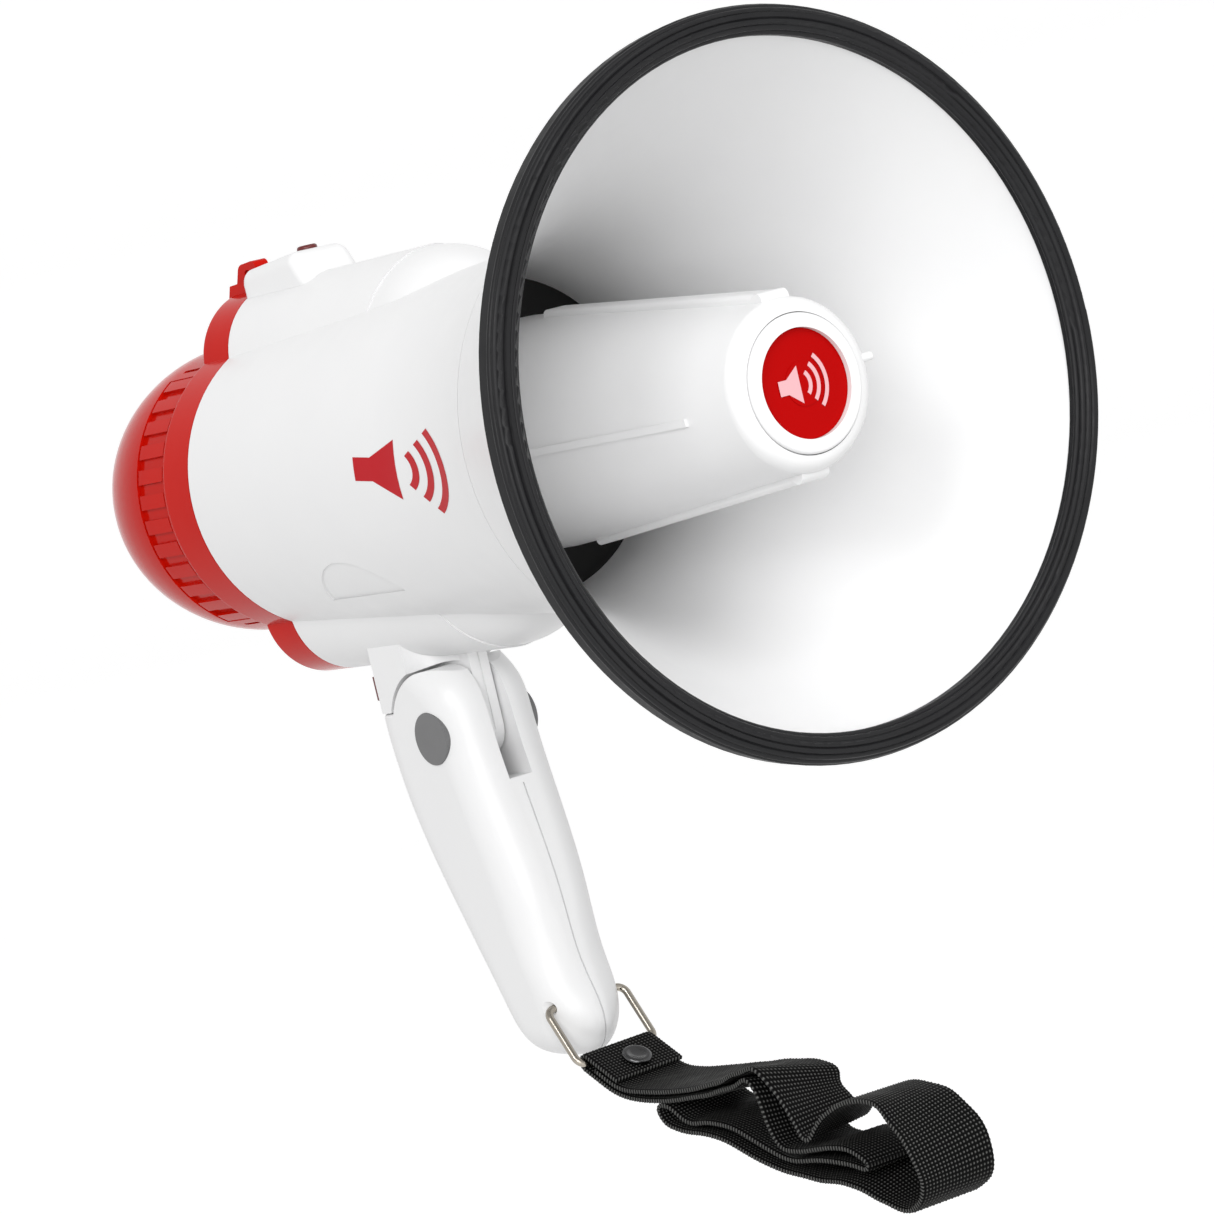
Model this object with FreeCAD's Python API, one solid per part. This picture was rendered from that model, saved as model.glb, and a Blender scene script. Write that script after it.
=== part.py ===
"""Handheld megaphone with a folding handle, a pull-off rear cap and a wrist strap.

Every shape is drawn about the horn's axis: y = 0 at the mouth, y grows towards the rear cap, z = 0 on
the axis, x = 0 on the plane of symmetry.  save() moves each piece to the row's frame, whose origin is
the middle of the handle's pivot bolt, with +Z up.
"""

import FreeCAD, Part
import math
import os
from FreeCAD import Vector

# ---- driving dimensions, mm --------------------------------------------------------------------------
RIM_FRONT = -1.5
RIM_REAR = 6.2
SEAM_Y = 58.0  # where the barrel's skirt meets the flare of the bell
SKIRT = 1.6
THROAT_Y = 106.0
THROAT_R = 35.8
BARREL_REAR = 187.5
BARREL_REAR_R = 35.5
BARREL_WALL = 2.0
POD_R = 16.8
POD_Z = 29.1
POD_WALL = 2.0
POD_EDGE_Y = 122.0
POD_NOSE = 25.5
NOSE_FRONT = 2.0
NOSE_REAR = 97.0
NOSE_WALL = 1.8
BADGE_R = 11.4
TUBE_REAR = 109.0
CELL_R = 13.1
CELL_LENGTH = 50.0
CELL_REAR = 184.0
CELL_SIDE_X = 17.0
CAP_FRONT = 187.8
COLLAR_REAR = 200.0
DOME_R = 34.4
DOME_START = 211.0
DOME_HEIGHT = 42.9
CAP_WALL = 2.0
GRIP_PADS = 12
GRIP_PITCH = 10.0  # degrees
KNOB_Z = -18.5
KNOB_R = 6.5
PIVOT_Y = 147.5
PIVOT_Z = -62.8
SHELL_HALF = 13.0  # half the handle's width at the pivot
SHELL_HALF_END = 9.3  # and at its foot
SHELL_WALL = 2.2
FOOT_Z = -139.4
LUG_HALF = 2.6
SLOT_HALF = 3.2
BOLT_R = 2.5
SEAT_R = 16.0
PAD_R = 6.1
RING_Y = 130.5
RING_Z = -127.4
WIRE_R = 0.9
RING_HALF = 11.0
RING_LEG = 15.0
RING_LEAN = 33.0  # degrees forward of straight down
STRAP_WIDTH = 19.0
WEBBING = 1.3
CLEAR = 0.3
RUNNING = 0.06
POST_AT = 22.0  # radius of the circle of posts behind the nose
POST_ANGLES = (90, 210, 330)
EAR_ANGLES = (45, 135, 225, 315)  # the driver's four mounting ears
TRAY_FRONT = 128.6  # front of the battery carrier
BOARD_Y = 189.6  # front face of the contact board
SPIGOT_R = DOME_R - CAP_WALL + 0.3
EYE = (194.6, 49.2)  # middle of the tie eye, as (y, z)
EYE_R = 1.25
BOARD_ANGLES = (20, 140, 260)  # the amplifier board's screws
BUTTON_Y = 170.0  # the signal button
BLOCK_HALF = 12.4  # half the width of the bracket's block
SHOULDER_Z = -56.3  # top of the handle behind its ears
SCREW_TIP = -49.4  # lower end of the bracket's screws
EAR_R = 15.4  # radius of the handle's ears
SEAM_HALF = 0.22  # half the width of the groove between the handle's shells
SEAM_DEPTH = 0.5
SCREW_POSTS = ((161.5, -84.0), (139.0, -98.0), (144.5, -124.0))
RING_FACE = 9.8  # half the handle's width at the ring
TAB_LEAN = -150.0  # direction of the strap's stitched tab, degrees
TAB_LENGTH = 11.0
RIVET_AT = 6.4  # the rivet's distance from the ring's bar
LAYER = WIRE_R + 0.1 + WEBBING / 2  # from the bar's middle to the webbing's

ROW_FROM_HORN = Vector(0, -PIVOT_Y, -PIVOT_Z)
AXIS_X = Vector(1, 0, 0)
AXIS_Y = Vector(0, 1, 0)
AXIS_Z = Vector(0, 0, 1)


# ---- helpers -----------------------------------------------------------------------------------------
def save(name, *solids):
    """Moves the piece to the row's frame and writes it."""
    pieces = [piece for solid in solids for piece in solid.Solids]
    shape = pieces[0].copy() if len(pieces) == 1 else Part.makeCompound(pieces)
    shape.translate(ROW_FROM_HORN)
    if not shape.isValid():
        print("not valid:", name)
    shape.exportStep("parts/" + name + ".step")


def one_solid(shape):
    """The largest solid of a shape."""
    return max(shape.Solids, key=lambda solid: solid.Volume)


def point(y, z, x=0.0):
    return Vector(x, y, z)


def outline(start, *steps):
    """A wire in the plane x = 0.

    A step is (y, z) for a line, ("arc", via, end), or ("curve", p1, p2, end) for a cubic.
    """
    edges = []
    here = point(*start)
    for step in steps + (start,):
        if step[0] == "arc":
            end = point(*step[2])
            edges.append(Part.Arc(here, point(*step[1]), end).toShape())
        elif step[0] == "curve":
            end = point(*step[3])
            curve = Part.BezierCurve()
            curve.setPoles([here, point(*step[1]), point(*step[2]), end])
            edges.append(curve.toShape())
        else:
            end = point(*step)
            if here.distanceToPoint(end) < 1e-6:
                continue
            edges.append(Part.makeLine(here, end))
        here = end
    return Part.Wire(edges)


def turned(wire, axis_x=0.0, axis_z=0.0):
    """A solid of revolution about an axis along Y."""
    return Part.Face(wire).revolve(Vector(axis_x, 0, axis_z), AXIS_Y, 360)


def slab(wire, x_low, x_high):
    """The wire of the plane x = 0, thickened along X."""
    face = Part.Face(wire)
    face.translate(Vector(x_low, 0, 0))
    return face.extrude(Vector(x_high - x_low, 0, 0))


def rod_x(radius, x_low, x_high, y, z):
    return Part.makeCylinder(radius, x_high - x_low, Vector(x_low, y, z), AXIS_X)


def rod_y(radius, y_low, y_high, x=0.0, z=0.0):
    return Part.makeCylinder(radius, y_high - y_low, Vector(x, y_low, z), AXIS_Y)


def rod_z(radius, z_low, z_high, x, y):
    return Part.makeCylinder(radius, z_high - z_low, Vector(x, y, z_low), AXIS_Z)


def tube_y(outer, inner, y_low, y_high, x=0.0, z=0.0):
    return rod_y(outer, y_low, y_high, x, z).cut(rod_y(inner, y_low - 1, y_high + 1, x, z))


def block(x_low, x_high, y_low, y_high, z_low, z_high):
    corner = Vector(x_low, y_low, z_low)
    return Part.makeBox(x_high - x_low, y_high - y_low, z_high - z_low, corner)


def fused(shapes):
    shape = shapes[0]
    for other in shapes[1:]:
        shape = shape.fuse(other)
    shape = shape.removeSplitter()
    return shape.Solids[0] if len(shape.Solids) == 1 else shape


def around_axis(shape, angles):
    """Copies of the shape turned about the horn's axis by the angles, in degrees."""
    copies = []
    for angle in angles:
        copy = shape.copy()
        copy.rotate(Vector(0, 0, 0), AXIS_Y, angle)
        copies.append(copy)
    return copies


def mirrored(shape):
    return shape.mirror(Vector(0, 0, 0), AXIS_X)


def coil_spring(radius, wire, length, turns, base, axis):
    """A round-wire spring whose first turn starts at base."""
    helix = Part.makeHelix(length / turns, length, radius)
    section = Part.Wire(Part.Circle(Vector(radius, 0, 0), AXIS_Y, wire).toShape())
    spring = helix.makePipeShell([section], True, True)
    spring.Placement = FreeCAD.Placement(base, FreeCAD.Rotation(AXIS_Z, axis))
    return spring


def stadium_ring(y_low, y_high, inset):
    """The barrel's rear section, a circle with a lobe above and below, extruded along Y."""
    pieces = [rod_y(BARREL_REAR_R - inset, y_low, y_high)]
    for side in (1, -1):
        pieces.append(rod_y(POD_R - inset, y_low, y_high, 0, side * POD_Z))
    return fused(pieces)


# ---- the horn ----------------------------------------------------------------------------------------
def flare(step_in=0.0):
    """The solid inside the horn's outer skin, step_in mm under it, from the mouth to the throat."""
    mouth = 5.0
    wire = outline(
        (mouth, 0.0),
        (mouth, 73.4 - step_in),
        ("curve", (40.0, 53.8 - step_in), (62.0, 40.2 - step_in), (THROAT_Y, 38.9 - step_in)),
        (THROAT_Y, 0.0),
    )
    return turned(wire)


def horn_air():
    """The hollow of the bell."""
    wire = outline(
        (-5.0, 0.0),
        (-5.0, 71.6),
        (2.8, 71.6),
        ("curve", (38.0, 51.6), (62.0, 37.0), (THROAT_Y, THROAT_R)),
        (THROAT_Y + 5.0, THROAT_R),
        (THROAT_Y + 5.0, 0.0),
    )
    return turned(wire)


def horn_bell():
    front = flare().cut(block(-80, 80, SEAM_Y, 120, -80, 80))
    neck = flare(SKIRT)
    flange = rod_y(75.6, 2.6, 5.0)
    return fused([front, neck, flange]).cut(horn_air())


def rim_rubber(bell):
    """A rounded rubber ring with fine ridges round its front; one ridge is flat, so it can stand on it."""
    centre_y = 2.0
    centre_r = 74.1
    reach = 3.4
    groove = 0.35
    ridges = 7
    first = 168.0
    last = -12.0
    pitch = (first - last) / ridges

    def on_arc(angle, radius):
        turn = math.radians(angle)
        return (centre_y - radius * math.sin(turn), centre_r + radius * math.cos(turn))

    steps = []
    for ridge in range(ridges):
        start = first - ridge * pitch
        if ridge == ridges // 2:
            shoulder = on_arc(start - 0.2 * pitch, reach)
            steps.append((RIM_FRONT, shoulder[1]))
            shoulder = on_arc(start - 0.8 * pitch, reach)
            steps.append((RIM_FRONT, shoulder[1]))
            steps.append(on_arc(start - pitch, reach - groove))
        else:
            crest = on_arc(start - 0.5 * pitch, reach)
            steps.append(("arc", crest, on_arc(start - pitch, reach - groove)))
    back = [
        (RIM_REAR - 1.0, centre_r + 3.1),
        (RIM_REAR, centre_r + 2.2),
        (RIM_REAR, centre_r - 2.4),
        (RIM_REAR - 1.2, centre_r - 3.1),
    ]
    wire = outline(on_arc(first, reach - groove), *steps, *back)
    return turned(wire).cut(bell).cut(horn_air().cut(rod_y(90, -6, 2.6)))


def nose_profile(inset, front):
    wire = outline(
        (front, 0.0),
        (front, 15.0 - inset),
        ("arc", (front + 0.9, 17.1 - inset), (front + 3.2, 18.2 - inset)),
        ("curve", (28.0, 19.7 - inset), (60.0, 23.6 - inset), (91.0, 25.5 - inset)),
        (NOSE_REAR, 25.6 - inset),
        (NOSE_REAR, 0.0),
    )
    return turned(wire)


def nose_cone():
    """The hollow bullet that turns the sound back, with raised ribs above, below and at the sides."""
    ribs = []
    for side, front, crest_front, crest_rear, half in (
        (1, 5.0, 19.8, 26.0, 3.6),
        (-1, 5.0, 19.8, 26.0, 3.6),
    ):
        wire = outline(
            (front, side * 12.0),
            (front, side * (crest_front - 1.6)),
            ("arc", (front + 0.6, side * (crest_front - 0.4)), (front + 2.2, side * crest_front)),
            (80.0, side * crest_rear),
            (80.0, side * 12.0),
        )
        rib = slab(wire, -half, half)
        ribs.append(rib.makeFillet(1.2, [e for e in rib.Edges if is_long_crest(e, side * crest_rear)]))
    for side in (1, -1):
        seam = outline((18.0, -3.2), (18.0, -1.6), (92.0, -1.6), (92.0, -3.2))
        ribs.append(slab(seam, 0, side * 30.0) if side > 0 else slab(seam, -30.0, 0))
    seam_skin = nose_profile(-0.85, NOSE_FRONT + 1.0)
    ribs[2] = ribs[2].common(seam_skin)
    ribs[3] = ribs[3].common(seam_skin)
    hollow = nose_profile(NOSE_WALL, NOSE_FRONT + 4.0)
    hollow = hollow.fuse(rod_y(25.6 - NOSE_WALL, 91.0, NOSE_REAR + 1))
    socket = rod_y(14.7, NOSE_FRONT - 1, NOSE_FRONT + 2.2)
    peg = rod_x(0.9, 15.5, 19.4, NOSE_FRONT + 1.4, 2.0)
    shape = fused([nose_profile(0.0, NOSE_FRONT), *ribs, peg]).cut(hollow).cut(socket)
    boss = rod_y(2.6, NOSE_REAR - 12, NOSE_REAR, 0, POST_AT)
    boss = boss.cut(rod_y(0.8, NOSE_REAR - 10, NOSE_REAR, 0, POST_AT))
    return fused([shape, *around_axis(boss, POST_ANGLES)])


def is_long_crest(edge, crest_z):
    """True for the two long top edges of a nose rib."""
    ends = [vertex.Point for vertex in edge.Vertexes]
    if len(ends) < 2:
        return False
    long_enough = abs(ends[0].y - ends[1].y) > 50
    return long_enough and max(abs(ends[0].z), abs(ends[1].z)) > abs(crest_z) - 0.5


def nose_cap():
    """The front ring that frames the badge."""
    ring = rod_y(14.5, 1.2, NOSE_FRONT + 2.1)
    front_edge = [e for e in ring.Edges if abs(e.CenterOfMass.y - 1.2) < 0.01 and e.Length > 50]
    ring = ring.makeFillet(0.8, front_edge)
    return ring.cut(rod_y(BADGE_R + 0.05, 0.0, NOSE_FRONT + 1.4))


def nose_badge():
    """The badge, with a faint round boss on its face."""
    disc = rod_y(BADGE_R, NOSE_FRONT + 0.4, NOSE_FRONT + 1.4)
    boss = rod_y(4.6, NOSE_FRONT + 0.25, NOSE_FRONT + 0.6)
    return disc.fuse(boss)


def sound_tube():
    """The flared tube that brings the sound from the driver to the front of the nose."""
    outer = outline(
        (26.0, 0.0),
        (26.0, 14.4),
        ("curve", (50.0, 11.4), (80.0, 10.4), (TUBE_REAR, 10.2)),
        (TUBE_REAR, 0.0),
    )
    inner = outline(
        (25.0, 0.0),
        (25.0, 13.0),
        ("curve", (50.0, 9.9), (80.0, 8.9), (TUBE_REAR + 1, 8.7)),
        (TUBE_REAR + 1, 0.0),
    )
    return turned(outer).cut(turned(inner))


def throat_plate():
    """The black plate behind the throat.  Three posts on it carry the nose."""
    disc = rod_y(36.6, THROAT_Y + 0.05, TUBE_REAR)
    post = rod_y(2.3, NOSE_REAR, THROAT_Y + 1, 0, POST_AT)
    plate = fused([disc, *around_axis(post, POST_ANGLES)]).cut(rod_y(10.4, 90, 120))
    hole = rod_y(0.8, 90, 120, 0, POST_AT).fuse(rod_y(1.7, TUBE_REAR - 1.4, TUBE_REAR + 1, 0, POST_AT))
    for cutter in around_axis(hole, POST_ANGLES):
        plate = plate.cut(cutter)
    for cutter in around_axis(rod_y(0.8, 90, 120, 0, 31.0), EAR_ANGLES):
        plate = plate.cut(cutter)
    return plate


def screw_y(x, z, head_y, tip_y, shank, head, head_height):
    """A screw along Y, its crossed head between head_y and head_y + head_height, its tip at tip_y."""
    low, high = sorted((head_y, head_y + head_height))
    body = rod_y(head, low, high, x, z)
    low, high = sorted((head_y + head_height * 0.5, tip_y))
    body = body.fuse(rod_y(shank, low, high, x, z))
    low, high = sorted((head_y - head_height * 0.1, head_y + head_height * 0.4))
    for half_x, half_z in ((head * 0.7, 0.3), (0.3, head * 0.7)):
        body = body.cut(block(x - half_x, x + half_x, low, high, z - half_z, z + half_z))
    return body


def driver():
    """The moving-coil driver unit behind the throat plate."""
    front = TUBE_REAR
    gasket = tube_y(28.0, 11.5, front, front + 0.8)
    frame = tube_y(28.0, 19.5, front + 0.8, front + 4.5)
    ears = around_axis(rod_y(3.2, front + 0.8, front + 3.0, 0, 31.0), EAR_ANGLES)
    frame = fused([frame, *ears])
    for hole in around_axis(rod_y(0.8, front, front + 6, 0, 31.0), EAR_ANGLES):
        frame = frame.cut(hole)
    dome = outline(
        (front + 3.3, 0.0),
        ("curve", (front + 3.3, 4.0), (front + 2.6, 8.0), (front + 1.2, 11.3)),
        (front + 1.2, 19.3),
        (front + 0.9, 19.3),
        (front + 0.9, 11.1),
        ("curve", (front + 2.3, 7.8), (front + 3.0, 4.0), (front + 3.0, 0.0)),
    )
    coil = tube_y(10.8, 10.4, front + 1.6, front + 7.5)
    top_plate = tube_y(19.4, 11.3, front + 4.6, front + 7.6)
    magnet = tube_y(22.0, 12.5, front + 7.6, front + 14.6)
    yoke = rod_y(19.4, front + 14.6, front + 17.6).fuse(rod_y(9.6, front + 5.4, front + 15))
    return gasket, frame, turned(dome), coil, top_plate, magnet, yoke


def driver_leads():
    """Two wires from the driver to the battery tray's front wall."""
    return [rod_y(0.7, TUBE_REAR + 4.5, TRAY_FRONT, x, 8.0) for x in (-25.0, 25.0)]


# ---- the barrel --------------------------------------------------------------------------------------
def pod(side):
    """One lobe: a cylinder with a slanting front edge over a slightly smaller rounded front."""
    cylinder = rod_y(POD_R, 112.0, BARREL_REAR, 0, side * POD_Z)
    wedge = slab(
        outline((100.0, side * 20.0), (136.6, side * 20.0), (119.6, side * 49.0), (100.0, side * 49.0)),
        -20,
        20,
    )
    cap_r = POD_R - 0.35
    cap_wire = outline(
        (POD_EDGE_Y + 20.0, 0.0),
        (POD_EDGE_Y + 20.0, cap_r),
        (POD_EDGE_Y, cap_r),
        ("curve", (POD_EDGE_Y - 0.55 * POD_NOSE, cap_r), (POD_EDGE_Y - POD_NOSE, 0.55 * cap_r),
         (POD_EDGE_Y - POD_NOSE, 0.0)),
    )
    cap = Part.Face(cap_wire).revolve(Vector(0, 0, 0), AXIS_Y, 360)
    cap.translate(Vector(0, 0, side * POD_Z))
    return cylinder.cut(wedge).fuse(cap)


def barrel_rear_profile(inset, front):
    slope = (38.9 - BARREL_REAR_R) / (BARREL_REAR - THROAT_Y)
    front_r = 38.9 - slope * (front - THROAT_Y) - inset
    wire = outline(
        (front, 0.0), (front, front_r), (BARREL_REAR, BARREL_REAR_R - inset), (BARREL_REAR, 0.0)
    )
    return turned(wire)


def barrel_outside():
    skirt = flare().cut(block(-80, 80, -10, SEAM_Y + 0.3, -80, 80))
    return fused([skirt, barrel_rear_profile(0.0, THROAT_Y), pod(1), pod(-1)])


def barrel():
    """The main moulding, open at the rear, with battery lobes above and below."""
    shape = barrel_outside()
    shape = shape.cut(flare(SKIRT))
    shape = shape.cut(barrel_rear_profile(BARREL_WALL, THROAT_Y))
    shape = shape.cut(rod_y(BARREL_REAR_R - BARREL_WALL, BARREL_REAR - 1, BARREL_REAR + 1))
    for side in (1, -1):
        shape = shape.cut(rod_y(POD_R - POD_WALL, 131.0, BARREL_REAR + 1, 0, side * POD_Z))
    # The lower side panel: a shallow step with a curved top edge, one on each side.
    panel = rod_x(20.0, -60, 60, 138.0, -38.0).common(block(-60, 60, 122, 160, -27, -18))
    shape = shape.cut(panel.cut(barrel_outside_inner_skin(0.4)))
    for x, y in ((-4.0, 158.0), (4.0, 158.0)):
        shape = shape.cut(rod_z(1.1, -50, -40, x, y))
    return shape


def barrel_outside_inner_skin(depth):
    return barrel_rear_profile(depth, THROAT_Y)


def battery_carrier():
    """The tray inside the barrel: a front wall and a spine with webs between the cells."""
    wall = rod_y(32.6, TRAY_FRONT, TRAY_FRONT + 2.4)
    spine = block(-3.2, 3.2, TRAY_FRONT + 2.4, 184.6, -14.8, 14.8)
    webs = block(-9.0, 9.0, TRAY_FRONT + 2.4, 184.6, -1.2, 1.2)
    shape = fused([wall, spine, webs])
    for x, z in cell_centres():
        shape = shape.cut(rod_y(CELL_R + 0.3, TRAY_FRONT + 2.4, 190, x, z))
    return shape


def cell_centres():
    return ((0.0, POD_Z + 0.4), (0.0, -POD_Z - 0.4), (CELL_SIDE_X, 0.0), (-CELL_SIDE_X, 0.0))


def battery_cell(x, z, button_rear):
    """A C-size cell with its contact button and shoulder."""
    rear = CELL_REAR
    front = rear - CELL_LENGTH
    can_low, can_high = (front, rear - 1.6) if button_rear else (front + 1.6, rear)
    can = rod_y(CELL_R, can_low, can_high, x, z)
    rims = [edge for edge in can.Edges if len(edge.Vertexes) == 1]
    can = can.makeFillet(0.8, rims)
    tip_low, tip_high = (rear - 2.0, rear) if button_rear else (front, front + 2.0)
    return can.fuse(rod_y(3.2, tip_low, tip_high, x, z))


def cone_contact(x, z, y_low, y_high):
    """A conical contact spring pressed nearly flat: a foot and a tapered turn."""
    foot = tube_y(5.4, 3.6, y_low, y_low + 0.5, x, z)
    cone = Part.makeCone(5.2, 3.2, y_high - y_low - 0.4, Vector(x, y_low + 0.4, z), AXIS_Y)
    core = Part.makeCone(4.2, 2.2, y_high - y_low - 0.4, Vector(x, y_low + 0.4, z), AXIS_Y)
    return foot.fuse(cone.cut(core))


def front_contacts():
    return [cone_contact(x, z, TRAY_FRONT + 2.4, CELL_REAR - CELL_LENGTH) for x, z in cell_centres()]


def contact_board():
    """The lobed board in the cap that closes the circuit behind the cells."""
    board = stadium_ring(BOARD_Y, BOARD_Y + 1.6, 2.2)
    return board.cut(rod_y(4.0, BOARD_Y - 1, BOARD_Y + 3))


def rear_contacts():
    """A sprung tongue for each cell, standing on the contact board."""
    tongues = []
    for x, z in cell_centres():
        tongue = rod_y(3.4, CELL_REAR + 0.4, CELL_REAR + 0.9, x, z)
        stem = block(x - 1.5, x + 1.5, CELL_REAR + 0.7, BOARD_Y, z - 0.5, z + 0.5)
        tongues.append(tongue.fuse(stem))
    return tongues


# ---- the rear cap ------------------------------------------------------------------------------------
def rear_collar():
    """The lobed ring of the cap, with the gusseted eye on top and its rear wall round the dome."""
    ring = stadium_ring(CAP_FRONT, COLLAR_REAR, 0.0)
    rear_edges = [e for e in ring.Edges if abs(e.CenterOfMass.y - COLLAR_REAR) < 0.01]
    ring = ring.makeFillet(1.6, rear_edges)
    hollow = stadium_ring(CAP_FRONT - 1, COLLAR_REAR - 2.4, 2.0)
    ring = ring.cut(hollow).cut(rod_y(SPIGOT_R + 0.05, CAP_FRONT, COLLAR_REAR + 1))
    skirt = stadium_ring(CELL_REAR + 1.4, BOARD_Y, 2.25).cut(stadium_ring(180, 200, 3.6))
    rib = stadium_ring(CAP_FRONT, BOARD_Y, 1.0).cut(stadium_ring(180, 200, 3.6))
    ring = fused([ring, skirt, rib])
    eye = outline(
        (190.6, 40.0),
        (190.6, 50.8),
        ("arc", (191.2, 51.9), (192.6, 52.2)),
        (196.2, 52.0),
        ("arc", (197.6, 51.6), (198.6, 50.4)),
        (206.5, 36.0),
    )
    ear = slab(eye, -1.9, 1.9)
    foot = outline((190.6, 40.0), (190.6, 48.0), (199.5, 47.6), (205.5, 36.0))
    gusset = slab(foot, -4.4, 4.4)
    keep = rod_y(80, 180, 220).cut(rod_y(DOME_R - 1.6, 180, 220))
    keep = keep.cut(stadium_ring(180, COLLAR_REAR - 2.4, 2.0))
    lug = fused([ear, gusset]).common(keep)
    lug = lug.cut(rod_x(EYE_R, -10, 10, *EYE))
    return fused([ring, lug])


def dome_solid(inset):
    radius = DOME_R - inset
    apex = DOME_START + DOME_HEIGHT - inset
    round_k = 0.5523
    shoulder = DOME_START + round_k * (apex - DOME_START)
    wire = outline(
        (COLLAR_REAR, 0.0),
        (COLLAR_REAR, radius),
        (DOME_START, radius),
        ("curve", (shoulder, radius), (apex, round_k * radius), (apex, 0.0)),
    )
    return turned(wire)


def rear_dome():
    """The dome, with a recessed band of grip pads at each side and seats for the knob and the grille."""
    outside = dome_solid(0.0)
    inside = dome_solid(CAP_WALL).fuse(rod_y(DOME_R - CAP_WALL, 190, COLLAR_REAR + 1))
    knob_cup = rod_y(KNOB_R + 2.4, 235.5, 260, 0, KNOB_Z).common(outside)
    mic_cup = rod_y(10.6, 240.0, 260).common(outside)
    posts = [post.common(outside) for post in around_axis(rod_y(2.4, 220.6, 245, 0, 26.0), BOARD_ANGLES)]
    spigot = tube_y(SPIGOT_R, SPIGOT_R - 1.5, COLLAR_REAR - 3.6, COLLAR_REAR + 2)
    shell = fused([outside.cut(inside), knob_cup, mic_cup, spigot, *posts])
    for hole in around_axis(rod_y(0.9, 220, 230, 0, 26.0), BOARD_ANGLES):
        shell = shell.cut(hole)
    band_y = (201.0, 213.0)
    band = tube_y(DOME_R + 3, DOME_R - 1.0, *band_y)
    reach = math.radians(58.0)
    wide = 60.0
    sector_wire = Part.makePolygon([
        Vector(0, band_y[0] - 1, 0),
        Vector(wide * math.cos(reach), band_y[0] - 1, wide * math.sin(reach)),
        Vector(wide * 1.2, band_y[0] - 1, 0),
        Vector(wide * math.cos(reach), band_y[0] - 1, -wide * math.sin(reach)),
        Vector(0, band_y[0] - 1, 0),
    ])
    sector = Part.Face(sector_wire).extrude(Vector(0, 20, 0))
    pad = block(DOME_R - 1.6, DOME_R + 1, band_y[0] + 0.6, band_y[1] - 0.6, -1.7, 1.7)
    pad = pad.common(dome_solid(0.15))
    for half_turn in (0, 180):
        recess = around_axis(band.common(sector), [half_turn])[0]
        shell = shell.cut(recess)
    first = -0.5 * (GRIP_PADS - 1) * GRIP_PITCH
    angles = [first + GRIP_PITCH * step for step in range(GRIP_PADS)]
    pads = around_axis(pad, angles) + around_axis(pad, [angle + 180 for angle in angles])
    shell = fused([shell, *pads])
    slit = block(DOME_R - 4, DOME_R + 2, 202.6, 209.4, -0.5, 0.5)
    for cutter in around_axis(slit, (62.5, -62.5, 117.5, -117.5)):
        shell = shell.cut(cutter)
    shell = shell.cut(rod_y(KNOB_R + 0.9, 237.5, 262, 0, KNOB_Z))
    shell = shell.cut(rod_y(3.1, 230, 240, 0, KNOB_Z))
    return shell.cut(rod_y(9.0, 249.6, 262)).cut(rod_y(6.65, 238, 262))


def volume_knob():
    knob = rod_y(KNOB_R, 238.0, 247.0, 0, KNOB_Z)
    rim = []
    for edge in knob.Edges:
        if abs(edge.CenterOfMass.y - 247.0) < 0.01 and len(edge.Vertexes) == 1:
            rim.append(edge)
    knob = knob.makeFillet(0.8, rim)
    for step in range(18):
        turn = math.radians(20.0 * step)
        x = KNOB_R * math.sin(turn)
        z = KNOB_Z + KNOB_R * math.cos(turn)
        knob = knob.cut(rod_y(0.45, 239.2, 248, x, z))
    knob = knob.cut(block(-0.5, 0.5, 246.3, 248, KNOB_Z + 1.5, KNOB_Z + KNOB_R + 1))
    return knob.cut(rod_y(2.0, 237, 244, 0, KNOB_Z))


def volume_control():
    """The potentiometer behind the knob; its bush passes through the cap."""
    body = block(-6, 6, 220.6, 230.0, KNOB_Z - 6, KNOB_Z + 6)
    bush = rod_y(3.0, 229.0, 236.6, 0, KNOB_Z)
    return body.fuse(bush).cut(rod_y(2.0 + RUNNING, 224.0, 240.0, 0, KNOB_Z))


def microphone_grille():
    """A slightly crowned perforated disc at the middle of the dome."""
    disc = rod_y(8.9, 249.7, 251.3)
    spots = [(0.0, 0.0)]
    for ring, count in ((2.2, 6), (4.4, 12), (6.6, 18)):
        for step in range(count):
            turn = 2 * math.pi * step / count
            spots.append((ring * math.sin(turn), ring * math.cos(turn)))
    for x, z in spots:
        disc = disc.cut(rod_y(0.6, 249, 252, x, z))
    return disc


def amplifier_board():
    """The round circuit board in the dome."""
    board = rod_y(29.5, 219.0, 220.6)
    for hole in around_axis(rod_y(0.9, 218, 222, 0, 26.0), BOARD_ANGLES):
        board = board.cut(hole)
    return board


def board_parts():
    """Capacitors, a power chip on its heat sink and a coil, standing on the front of the board."""
    parts = []
    for x, z, radius, height in ((-14.0, 8.0, 4.0, 9.0), (-4.5, 15.0, 4.0, 9.0), (-19.0, -3.0, 2.5, 6.0),
                                 (16.0, -12.0, 3.2, 7.0)):
        parts.append(rod_y(radius, 219.0 - height, 219.0, x, z))
    parts.append(block(4.0, 20.0, 216.5, 219.0, 4.0, 10.0))
    sink = block(2.0, 20.0, 208.0, 219.0, 15.0, 17.0)
    for fin in range(5):
        sink = sink.fuse(block(2.4 + 4.0 * fin, 3.6 + 4.0 * fin, 208.0, 218.0, 12.5, 15.0))
    parts.append(sink)
    return parts


# ---- switches ----------------------------------------------------------------------------------------


def pod_top_skin():
    return rod_y(POD_R, 150, 200, 0, POD_Z)


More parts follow.
